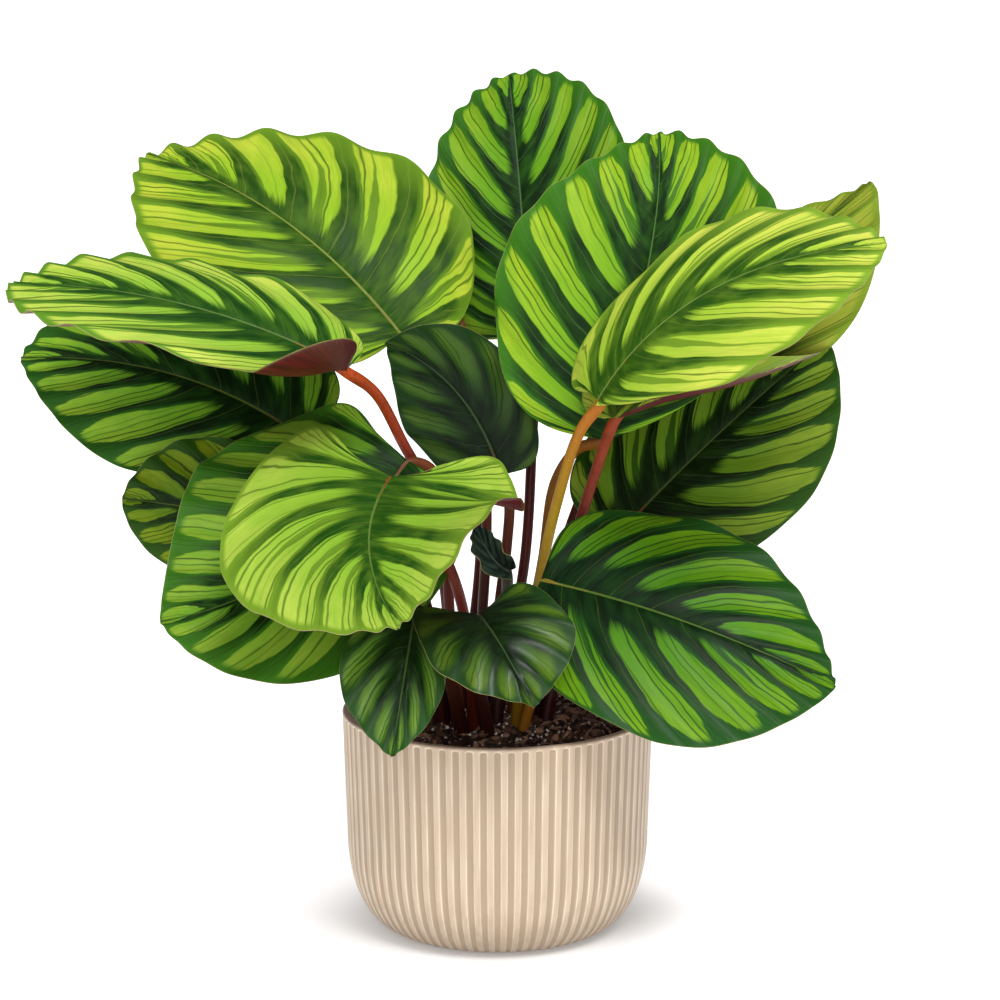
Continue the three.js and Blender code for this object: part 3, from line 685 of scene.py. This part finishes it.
def half_blade(leaf, midrib, side, q, t):
    """Middle layer of one half: points, upper normals, band number, distance from the midrib
    and place along it, for places q along the margin and shares t of the way to it."""
    q, t = q[:, None], t[None, :]
    length = midrib.length
    foot = length * (np.maximum(q - FIRST_VEIN, 0) / (1 - FIRST_VEIN)) ** VEIN_SWEEP
    arc = math.pi * q
    half = 0 if side < 0 else 1
    power = np.where(arc < math.pi / 2, leaf["blunt"][half], leaf["point"])
    swell = np.maximum(np.sin(arc), 0) ** power
    end_across = leaf["half"][half] * swell
    end_along = (length * (0.5 - 0.5 * np.cos(arc))
                 - leaf["lobe"][half] * length * np.sin(math.pi * np.minimum(q / LOBE_END, 1))
                 + leaf["lean"][half] * length * np.sin(arc))
    bend_along = foot + BEND_ALONG * (end_along - foot)
    along = (1 - t) ** 2 * foot + 2 * t * (1 - t) * bend_along + t ** 2 * end_along
    across = 2 * t * (1 - t) * BEND_ACROSS * end_across + t ** 2 * end_across
    rise = rise_at(leaf, side, q, t) + 0 * across
    middle = (rise[:, 1:] + rise[:, :-1]) / 2
    moves = np.diff(across, axis=1)
    start = np.zeros((len(q), 1))
    out = np.concatenate((start, np.cumsum(moves * np.cos(middle), axis=1)), axis=1)
    height = np.concatenate((start, np.cumsum(moves * np.sin(middle), axis=1)), axis=1)

    point, way, up, right = midrib.at(np.clip(along / length, 0, 1))
    on_rib = ((t < 1e-9) | (q > 1 - 1e-9))[..., None] & np.ones_like(rise, bool)[..., None]
    tilted = up * np.cos(rise)[..., None] - side * right * np.sin(rise)[..., None]
    normal = np.where(on_rib, up, tilted)
    phase = leaf["bands"] * q ** BAND_SWEEP + (0 if side < 0 else RIGHT_LAG)
    calm = np.minimum(np.minimum(q / 0.1, (1 - q) / 0.03), 1)
    wave = np.sin(2 * math.pi * phase)
    quilt = QUILT_HEIGHT * np.sin(math.pi * np.minimum(t * 1.1, 1)) * wave * calm
    ripple = leaf["wave"] * calm * t ** WAVE_RISE * wave + quilt
    sunk = GROOVE_DEPTH * np.exp(-(across / GROOVE_WIDTH) ** 2)
    point = (point + way * np.minimum(along, 0)[..., None] + right * (side * out)[..., None]
             + up * (height - sunk)[..., None] + normal * ripple[..., None])
    near_base = leaf["base_bands"] * (1 - np.exp(-q / BASE_BANDS_REACH))
    bands = phase + near_base + (0 if side < 0 else RIGHT_SIDE) + 0 * t
    return point, normal, bands, across, np.clip(along / length, 0, 1)


def blade_mesh(leaf, finishes):
    """The whole blade as one closed sheet. Columns follow the veins from base to tip, rows
    run from the left margin over the midrib to the right one."""
    midrib = Midrib(leaf)
    q = FIRST_COLUMN + (1 - FIRST_COLUMN) * np.linspace(0, 1, BLADE_COLUMNS) ** 0.8
    fine = np.linspace(0, 1, BLADE_ROWS * FINE_STEPS + 1) ** 1.4
    halves = {}
    for side in (-1, 1):
        grids = half_blade(leaf, midrib, side, q, fine)
        halves[side] = [grid[:, ::FINE_STEPS] for grid in grids]
    t = fine[::FINE_STEPS]

    def spot(i, j, layer):
        """What a point goes by. Columns share their point at the base and at the tip."""
        if i == BLADE_COLUMNS - 1:
            return ("tip", layer)
        if j == 0 and q[i] <= FIRST_VEIN:
            return ("base", layer)
        return (i, j, layer)

    points, numbers = [], {}
    for i in range(BLADE_COLUMNS):
        for j in range(-BLADE_ROWS, BLADE_ROWS + 1):
            side = -1 if j < 0 else 1
            point, normal, _, across, share = (grid[i, abs(j)] for grid in halves[side])
            for layer in (1, -1):
                if spot(i, j, layer) in numbers:
                    continue
                numbers[spot(i, j, layer)] = len(points)
                out = layer * BLADE_THICKNESS / 2
                if layer < 0:
                    out -= RIDGE_HEIGHT * (1 - share) * math.exp(-(across / RIDGE_WIDTH) ** 2)
                points.append(point + normal * out)

    faces, corners, kinds = [], [], []

    def face(cells, kind):
        """One face. A cell is column, row, layer and the side whose pattern it shows."""
        kept = {}
        for cell in cells:
            kept.setdefault(numbers[spot(*cell[:3])], cell)
        if len(kept) < 3:
            return
        faces.append(list(kept))
        kinds.append(kind)
        for i, j, _, side in kept.values():
            _, _, bands, across, share = (grid[i, abs(j)] for grid in halves[side])
            corners.append((bands, t[abs(j)], q[i], across, share, float(side)))

    for i in range(BLADE_COLUMNS - 1):
        for j in range(-BLADE_ROWS, BLADE_ROWS):
            side = -1 if j < 0 else 1
            ring = [(i, j), (i, j + 1), (i + 1, j + 1), (i + 1, j)]
            face([(*cell, 1, side) for cell in ring], UPPER)
            face([(*cell, -1, side) for cell in reversed(ring)], UNDER)
        for j, side in ((-BLADE_ROWS, -1), (BLADE_ROWS, 1)):
            ring = [(i, j, 1), (i, j, -1), (i + 1, j, -1), (i + 1, j, 1)]
            face([(*cell, side) for cell in ring[::side]], MARGIN)
    for j in range(-BLADE_ROWS, BLADE_ROWS):
        side = -1 if j < 0 else 1
        ring = [(0, j, 1), (0, j, -1), (0, j + 1, -1), (0, j + 1, 1)]
        face([(*cell, side) for cell in ring], MARGIN)

    piece = new_piece(f"blade_{leaf['name']}", points, faces, finishes)
    corners = np.array(corners, np.float32)
    for name, values in (("pattern", corners[:, :3]), ("place", corners[:, 3:])):
        carried = piece.data.attributes.new(name, "FLOAT_VECTOR", "CORNER")
        carried.data.foreach_set("vector", values.ravel())
    piece.data.polygons.foreach_set("material_index", kinds)
    smooth(piece, 65)
    return piece


BAND_TONES = ("Light", "Tint", "Rim", "Dark", "Rib")
BAND_VALUES = ("Start", "Width", "End", "Soft", "Split", "Seed")


def numbers_of(tree, name):
    """The three numbers that the mesh carries under this name."""
    return add(tree, "ShaderNodeSeparateXYZ", (read(tree, name).outputs["Vector"],)).outputs


def stretched(tree, phase, t, across, along, seed):
    """A map of the blade that follows its veins, for noise of the given fineness."""
    return vector_of(tree, times(tree, phase, across), times(tree, t, along), seed)


def lots(tree, x, y, z):
    """A draw for each set of three numbers."""
    return add(tree, "ShaderNodeTexWhiteNoise", (vector_of(tree, x, y, z),),
               noise_dimensions="3D").outputs


def stripe_group():
    """Paints the bands, veins, midrib and margin of a blade's upper face."""
    tree = bpy.data.node_groups.new("calathea_bands", "ShaderNodeTree")
    for label in BAND_TONES:
        tree.interface.new_socket(label, in_out="INPUT", socket_type="NodeSocketColor")
    for label in BAND_VALUES:
        tree.interface.new_socket(label, in_out="INPUT", socket_type="NodeSocketFloat")
    tree.interface.new_socket("Colour", in_out="OUTPUT", socket_type="NodeSocketColor")
    tree.interface.new_socket("Roughness", in_out="OUTPUT", socket_type="NodeSocketFloat")
    tree.interface.new_socket("Height", in_out="OUTPUT", socket_type="NodeSocketFloat")
    given = tree.nodes.new("NodeGroupInput").outputs
    result = tree.nodes.new("NodeGroupOutput").inputs
    phase, t, _ = numbers_of(tree, "pattern")
    across, share, _ = numbers_of(tree, "place")
    seed, soft = given["Seed"], given["Soft"]

    # where in its band a point lies: 0 is the middle of a light band
    drift = grain(tree, stretched(tree, phase, t, 1.6, 2.5, seed), 1.0)
    warped = plus(tree, minus(tree, phase, 0.25), times(tree, minus(tree, drift, 0.5), 0.3))
    band = calc(tree, "FLOOR", warped)
    s = minus(tree, calc(tree, "FRACT", warped), 0.5)
    drawn = lots(tree, band, seed, 0.5)["Color"]
    lot_a, lot_b, lot_c = add(tree, "ShaderNodeSeparateColor", (drawn,)).outputs
    hairs = stretched(tree, phase, t, 26.0, 3.0, seed)
    brush = minus(tree, grain(tree, hairs, 1.0, 4.0, 0.6), 0.5)

    # the light band: a lens that starts softly off the midrib and runs out in fingers
    start = times(tree, given["Start"], plus(tree, 0.6, times(tree, lot_a, 0.8)))
    run = calc(tree, "DIVIDE", minus(tree, t, start), minus(tree, given["End"], start))
    grow = calc(tree, "POWER", calc(tree, "MAXIMUM", run, 0.0), 0.3)
    fingers = plus(tree, run, times(tree, brush, 0.2))
    taper = calc(tree, "POWER", ease(tree, fingers, 0.62, 1.04, 1.0, 0.0), 0.7)
    wide = times(tree, given["Width"], plus(tree, 0.85, times(tree, lot_b, 0.3)))
    half = times(tree, times(tree, wide, grow), taper)
    ahead = calc(tree, "SUBTRACT", 1.0, run, clamp=True)
    centred = plus(tree, s, times(tree, calc(tree, "POWER", ahead, 2.0), 0.16))
    off = calc(tree, "ABSOLUTE", centred)
    edge = plus(tree, minus(tree, half, off), times(tree, brush, 0.06))
    begun = ease(tree, fingers, 0.0, plus(tree, 0.14, times(tree, soft, 0.4)))
    closed = ease(tree, t, 0.93, 0.985, 1.0, 0.0)
    outer = minus(tree, -0.012, times(tree, soft, 0.1))
    inner = plus(tree, 0.03, times(tree, soft, 0.22))
    light = times(tree, times(tree, begun, closed), ease(tree, edge, outer, inner))
    halo_off = calc(tree, "ABSOLUTE", minus(tree, centred, 0.06))
    halo_edge = plus(tree, minus(tree, plus(tree, half, 0.05), halo_off), times(tree, brush, 0.12))
    halo = times(tree, ease(tree, halo_edge, -0.02, 0.07), begun)

    # some bands are split by a dark lance that runs out into a thin line
    lance_half = plus(tree, times(tree, ease(tree, run, 0.0, 0.75, 1.0, 0.0), 0.11), 0.012)
    lance_off = calc(tree, "ABSOLUTE", plus(tree, s, 0.02))
    lance = ease(tree, minus(tree, lance_half, lance_off), -0.015, 0.012)
    chosen = calc(tree, "LESS_THAN", lot_c, given["Split"])
    split = times(tree, times(tree, lance, chosen), 0.85)
    light = times(tree, light, minus(tree, 1.0, split))

    # thin veins, six to a band, each with its own strength
    sixth = times(tree, plus(tree, s, 0.5), 6.0)
    nearest = calc(tree, "ROUND", sixth)
    vein_off = calc(tree, "ABSOLUTE", minus(tree, sixth, nearest))
    strength = ease(tree, lots(tree, band, nearest, seed)["Value"], 0.1, 0.8)
    vein = times(tree, ease(tree, vein_off, 0.04, 0.19, 1.0, 0.0), strength)

    # the light band's own tones
    fleck = grain(tree, stretched(tree, phase, t, 3.0, 4.0, seed), 1.0, 3.0)
    ripe = times(tree, ease(tree, t, 0.25, 0.95), ease(tree, fleck, 0.3, 0.65, 0.4, 1.0))
    bright = blend(tree, ripe, given["Light"], given["Tint"])
    bright = blend(tree, times(tree, vein, 0.75), bright, given["Dark"])
    streak = ease(tree, grain(tree, hairs, 2.2, 2.0), 0.35, 0.7, 0.0, 0.25)
    bright = blend(tree, streak, bright, given["Rim"])

    # the dark ground between the bands, which turns to the rim's tone near the margin
    deep = blend(tree, ease(tree, fleck, 0.35, 0.75, 0.0, 0.35), given["Dark"], given["Rim"])
    seam = ease(tree, calc(tree, "ABSOLUTE", s), 0.475, 0.5)
    deep = blend(tree, times(tree, seam, 0.3), deep, given["Rib"])
    deep = blend(tree, ease(tree, t, 0.55, 0.97, 0.0, 0.75), deep, given["Rim"])

    base = blend(tree, times(tree, halo, 0.6), deep, given["Rim"])
    base = blend(tree, light, base, bright)
    base = blend(tree, ease(tree, t, 0.95, 0.985, 0.0, 0.6), base, given["Rim"])
    margin = ease(tree, t, 0.994, 0.999)
    base = blend(tree, times(tree, margin, 0.6), base, paint(MARGIN_LINE))
    rib_half = plus(tree, times(tree, minus(tree, 1.0, share), 0.75), 0.25)
    rib = ease(tree, minus(tree, across, rib_half), -0.4, 0.2, 1.0, 0.0)
    base = blend(tree, times(tree, rib, 0.75), base, given["Rib"])
    tree.links.new(base, result["Colour"])
    tree.links.new(ease(tree, fleck, 0.3, 0.7, 0.32, 0.46), result["Roughness"])
    fine = grain(tree, hairs, 2.6, 3.0, 0.6)
    height = minus(tree, times(tree, fine, 0.5), times(tree, vein, 0.6))
    tree.links.new(minus(tree, height, times(tree, seam, 0.7)), result["Height"])
    return tree


def upper_face(leaf, group):
    finish, tree, shader = new_finish(f"upper_{leaf['name']}", 0.38, Specular_IOR_Level=0.09,
                                      Coat_Weight=leaf["gloss"], Coat_Roughness=0.3)
    bands = tree.nodes.new("ShaderNodeGroup")
    bands.node_tree = group
    for label, tone in zip(BAND_TONES, leaf["tones"]):
        bands.inputs[label].default_value = paint(tone)
    for label in BAND_VALUES:
        bands.inputs[label].default_value = leaf[label.lower()]
    tree.links.new(bands.outputs["Colour"], shader.inputs["Base Color"])
    tree.links.new(bands.outputs["Roughness"], shader.inputs["Roughness"])
    relief(tree, shader, bands.outputs["Height"], 0.0003, 0.8)
    return finish


def under_face():
    finish, tree, shader = new_finish("underside_wine", 0.42, Specular_IOR_Level=0.35)
    phase, t, _ = numbers_of(tree, "pattern")
    across = numbers_of(tree, "place")[0]
    fibre = grain(tree, stretched(tree, phase, t, 22.0, 3.0, 0.0), 1.0, 3.0)
    tone = blend(tree, ease(tree, fibre, 0.3, 0.7), *map(paint, UNDERSIDE))
    edge = calc(tree, "ABSOLUTE", minus(tree, calc(tree, "FRACT", phase), 0.5))
    tone = blend(tree, ease(tree, edge, 0.1, 0.4, 0.2, 0.0), tone, paint(UNDERSIDE_BANDS))
    tone = blend(tree, ease(tree, t, 0.97, 1.0, 0.0, 0.6), tone, paint(UNDERSIDE_RIM))
    rib = ease(tree, across, 1.0, 2.2, 1.0, 0.0)
    tone = blend(tree, times(tree, rib, 0.8), tone, paint(UNDERSIDE_RIB))
    tree.links.new(tone, shader.inputs["Base Color"])
    relief(tree, shader, fibre, 0.0003, 0.7)
    return finish


def edge_finish():
    finish, tree, shader = new_finish("blade_margin", 0.5)
    place = add(tree, "ShaderNodeTexCoord").outputs["Object"]
    dry = grain(tree, place, 160.0, 3.0)
    tone = blend(tree, ease(tree, dry, 0.35, 0.7), *map(paint, MARGIN_EDGE))
    tree.links.new(tone, shader.inputs["Base Color"])
    return finish


bands_group = stripe_group()
underside = under_face()
margin_edge = edge_finish()
for leaf in LEAVES:
    blade = blade_mesh(leaf, [upper_face(leaf, bands_group), underside, margin_edge])
    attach(blade, "root")
    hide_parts(f"leaf_{leaf['name']}_blade")

# ---------------------------------------------------------------- leaf stalks
# Smooth fleshy stalks, thicker at the soil, each thinning out under its blade as the midrib.
# They run from dark red and brown to yellow-orange.

STALK_ROOT_DEPTH = 12
STALK_RADIUS = 3.3
STALK_TIP_RADIUS = 1.2
STALK_FOOT_LENGTH = 55
STALK_GAP = 0.1
STALK_JOINT_REACH = 9
STALK_JOINT_SWELL = 0.1
STALK_STEPS = 60  # of the curve between two points
STALK_RIB_SHARE = 0.16
STALK_SIDES = 16
STALK_RINGS = 90
# tones from the soil to the blade
PLAIN_STALK_TONES = ("#3c1210", "#571a12", "#6c381c")
STALK_TONES = {
    "upper_left": ("#2c0f0c", "#5a2a18", "#84602c"),
    "left": ("#3c1210", "#7c2814", "#c24c1e"),
    "left_under": ("#3a1210", "#571a12", "#6e2c18"),
    "left_small": ("#3a1210", "#571a12", "#6c3a1e"),
    "lower_left": ("#5a2414", "#5e2014", "#743c1c"),
    "front_left": ("#5c1e12", "#6a2414", "#84501e"),
    "centre_small": ("#2c0f0c", "#471c10", "#6a381c"),
    "centre_right": ("#54300c", "#7c4e0e", "#845214"),
    "right": ("#8a660e", "#a88616", "#bc6c26"),
    "right_upper": ("#3c0e08", "#6c2010", "#a8441c"),
    "top": ("#34120e", "#4a1812", "#6c3018"),
    "right_under": ("#3c120e", "#641e14", "#8a2e1c"),
    "lower_right": ("#a8701c", "#9c6a1e", "#7c7a2a"),
    "front_small": ("#34140c", "#3e1e10", "#484a22"),
    "rim_small": ("#3a160e", "#44220f", "#484a22"),
    "withered": ("#2c0f0c", "#3c1a10", "#484a3c"),
}


class StalkLine:
    """A smooth centripetal curve through the stalk's points, by length along it."""

    def __init__(self, leaf):
        midrib = Midrib(leaf)
        points = [np.array(p if len(p) == 3 else (*p, SOIL_LEVEL), float) for p in leaf["stalk"]]
        points.insert(0, points[0] - (0, 0, STALK_ROOT_DEPTH))
        for part in (0, 0.5, 1):
            place, _, up, _ = midrib.at(part * STALK_RIB_SHARE)
            radius = STALK_RADIUS + (STALK_TIP_RADIUS - STALK_RADIUS) * part
            points.append(place - up * (radius + STALK_GAP))
        self.rib_length = STALK_RIB_SHARE * midrib.length
        ends = [2 * points[0] - points[1], *points, 2 * points[-1] - points[-2]]
        line = []
        for p0, p1, p2, p3 in zip(ends, ends[1:], ends[2:], ends[3:]):
            d0, d1, d2 = (np.linalg.norm(b - a) ** 0.5 for a, b in ((p0, p1), (p1, p2), (p2, p3)))
            out = ((p1 - p0) / d0 - (p2 - p0) / (d0 + d1) + (p2 - p1) / d1) * d1
            into = ((p2 - p1) / d1 - (p3 - p1) / (d1 + d2) + (p3 - p2) / d2) * d1
            u = np.linspace(0, 1, STALK_STEPS, endpoint=False)[:, None]
            line.append(p1 + out * u + (3 * (p2 - p1) - 2 * out - into) * u ** 2
                        + (2 * (p1 - p2) + out + into) * u ** 3)
        self.line = np.concatenate((*line, [points[-1]]))
        gone = np.linalg.norm(np.diff(self.line, axis=0), axis=1)
        self.gone = np.concatenate(([0.0], np.cumsum(gone)))
        self.length = self.gone[-1]

    def at(self, done):
        return np.stack([np.interp(done, self.gone, self.line[:, k]) for k in range(3)], -1)


def stalk_mesh(leaf, finish):
    line = StalkLine(leaf)
    done = np.linspace(0, line.length, STALK_RINGS)
    place = line.at(done)
    along = unit(line.at(np.minimum(done + 0.5, line.length)) - line.at(np.maximum(done - 0.5, 0)))
    base, tip = np.array(leaf["base"], float), np.array(leaf["tip"], float)
    sideways = unit(np.array((tip[1] - base[1], base[0] - tip[0], 0)))
    across = unit(sideways - (along @ sideways)[:, None] * along)
    upward = np.cross(along, across)
    foot = np.maximum(1 - done / (STALK_FOOT_LENGTH + STALK_ROOT_DEPTH), 0)
    fade = np.clip((line.length - done) / line.rib_length, 0, 1)
    radius = ((leaf["foot"] - STALK_RADIUS) * foot + STALK_TIP_RADIUS
              + (STALK_RADIUS - STALK_TIP_RADIUS) * fade)
    # the joint just below the blade is a little thicker than the rest
    below = line.length - line.rib_length - STALK_JOINT_REACH - done
    radius = radius * (1 + STALK_JOINT_SWELL * np.exp(-(below / STALK_JOINT_REACH) ** 2))
    points, faces = [place[0]], []
    for k in range(STALK_RINGS):
        for m in range(STALK_SIDES):
            turn = 2 * math.pi * m / STALK_SIDES
            out = across[k] * math.cos(turn) + upward[k] * math.sin(turn)
            points.append(place[k] + radius[k] * out)
    points.append(place[-1])
    last = len(points) - 1
    for m in range(STALK_SIDES):
        after = (m + 1) % STALK_SIDES
        faces.append((0, 1 + after, 1 + m))
        for k in range(STALK_RINGS - 1):
            low, high = 1 + k * STALK_SIDES, 1 + (k + 1) * STALK_SIDES
            faces.append((low + m, low + after, high + after, high + m))
        faces.append((last, last - STALK_SIDES + m, last - STALK_SIDES + after))
    piece = new_piece(f"stalk_{leaf['name']}", points, faces, [finish])
    shares = np.concatenate(([0.0], np.repeat(done / line.length, STALK_SIDES), [1.0]))
    course = piece.data.attributes.new("course", "FLOAT", "POINT")
    course.data.foreach_set("value", shares.astype(np.float32))
    smooth(piece, 70)
    return piece


def stalk_finish(name):
    low, middle, high = STALK_TONES.get(name, PLAIN_STALK_TONES)
    finish, tree, shader = new_finish(f"stalk_{name}", 0.4, Specular_IOR_Level=0.22)
    place = add(tree, "ShaderNodeTexCoord").outputs["Object"]
    share = read(tree, "course").outputs["Fac"]
    tone = blend(tree, ease(tree, share, 0.1, 0.5), paint(low), paint(middle))
    tone = blend(tree, ease(tree, share, 0.55, 0.9), tone, paint(high))
    drawn = add(tree, "ShaderNodeMapping", {"Vector": place, "Scale": (1.0, 1.0, 0.06)}).outputs[0]
    fibre = grain(tree, drawn, 1400.0, 3.0, 0.6)
    tone = blend(tree, ease(tree, fibre, 0.35, 0.7, 0.0, 0.35), tone, paint(low, 0.7))
    blotch = grain(tree, place, 60.0, 3.0)
    tone = blend(tree, ease(tree, blotch, 0.5, 0.75, 0.0, 0.4), tone, paint(low, 0.8))
    tree.links.new(tone, shader.inputs["Base Color"])
    relief(tree, shader, fibre, 0.0002, 0.6)
    return finish


for leaf in LEAVES:
    stalk = stalk_mesh(leaf, stalk_finish(leaf["name"]))
    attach(stalk, "root")
    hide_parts(f"leaf_{leaf['name']}_stalk")

# ---------------------------------------------------------------- the room
# A white sweep of studio paper, soft light from above and in front, and the camera a little
# higher than the plant, looking down at it.

FLOOR_REACH = 30.0
GLOW_FROM = 0.06  # metres from the pot's middle
GLOW_TO = 0.14
ROOM_LIGHT = 0.22
LENS_LENGTH = 108.72
CAMERA_PLACE = (0.0015, -1.8, 0.622)
CAMERA_DOWN = 11.19


def studio_floor():
    finish, tree, shader = new_finish("studio_paper", 0.9)
    shader.inputs["Base Color"].default_value = (0.8, 0.8, 0.8, 1.0)
    shader.inputs["Emission Color"].default_value = (1.0, 1.0, 1.0, 1.0)
    shader.inputs["Specular IOR Level"].default_value = 0.0
    # the paper glows on its own away from the pot, so that only the pot's shadow shows, and glows less
    # near the pot, which paints a shadow round it
    place = add(tree, "ShaderNodeTexCoord").outputs["Object"]
    away = add(tree, "ShaderNodeVectorMath", (place,), operation="LENGTH").outputs["Value"]
    glow = ease(tree, away, GLOW_FROM, GLOW_TO, 0.2, 0.8)
    tree.links.new(glow, shader.inputs["Emission Strength"])
    mesh = bpy.data.meshes.new("studio_floor")
    sides = ((-1, -1), (1, -1), (1, 1), (-1, 1))
    mesh.from_pydata([(x * FLOOR_REACH, y * FLOOR_REACH, 0) for x, y in sides], [], [range(4)])
    mesh.materials.append(finish)
    floor = bpy.data.objects.new("studio_floor", mesh)
    bpy.context.scene.collection.objects.link(floor)


def sun(name, strength, degrees, turn):
    lamp = bpy.data.lights.new(name, "SUN")
    lamp.energy = strength
    lamp.angle = math.radians(degrees)
    light = bpy.data.objects.new(name, lamp)
    light.rotation_euler = [math.radians(angle) for angle in turn]
    bpy.context.scene.collection.objects.link(light)


studio_floor()
sun("window_above", 1.9, 24, (32, 0, 22))
sun("window_front", 0.7, 60, (62, 0, -25))
sun("window_low", 0.4, 24, (78, 0, 4))
room = bpy.data.worlds.new("studio")
room.use_nodes = True
sky = room.node_tree.nodes["Background"]
sky.inputs["Color"].default_value = (1, 1, 1, 1)
sky.inputs["Strength"].default_value = ROOM_LIGHT
bpy.context.scene.world = room
bpy.context.scene.view_settings.view_transform = "Standard"

lens = bpy.data.cameras.new("photo_camera")
lens.lens = LENS_LENGTH
lens.sensor_width = 36
lens.clip_end = 200
camera = bpy.data.objects.new("photo_camera", lens)
camera.location = CAMERA_PLACE
camera.rotation_euler = (math.radians(90 - CAMERA_DOWN), 0, 0)
bpy.context.scene.collection.objects.link(camera)
bpy.context.scene.camera = camera
